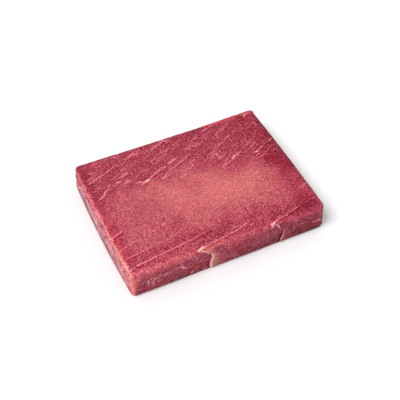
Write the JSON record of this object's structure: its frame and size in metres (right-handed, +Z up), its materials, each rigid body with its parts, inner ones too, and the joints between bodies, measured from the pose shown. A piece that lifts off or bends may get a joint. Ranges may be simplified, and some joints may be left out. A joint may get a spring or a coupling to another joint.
{
  "type": "tuna saku block",
  "caption": "Raw tuna saku block, a flat trimmed rectangular cut of loin for slicing into sashimi.",
  "frame": {"origin": "middle of the bounding box's underside, on the surface the block lies on", "axes": "+X along the block's long side, +Y across it away from the notched front side, +Z up through its thickness"},
  "size_m": [0.1604, 0.12, 0.0243],
  "materials": {
    "tuna_flesh": null
  },
  "bodies": {
    "root": {"tuna_block": "tuna_flesh"}
  },
  "joints": []
}
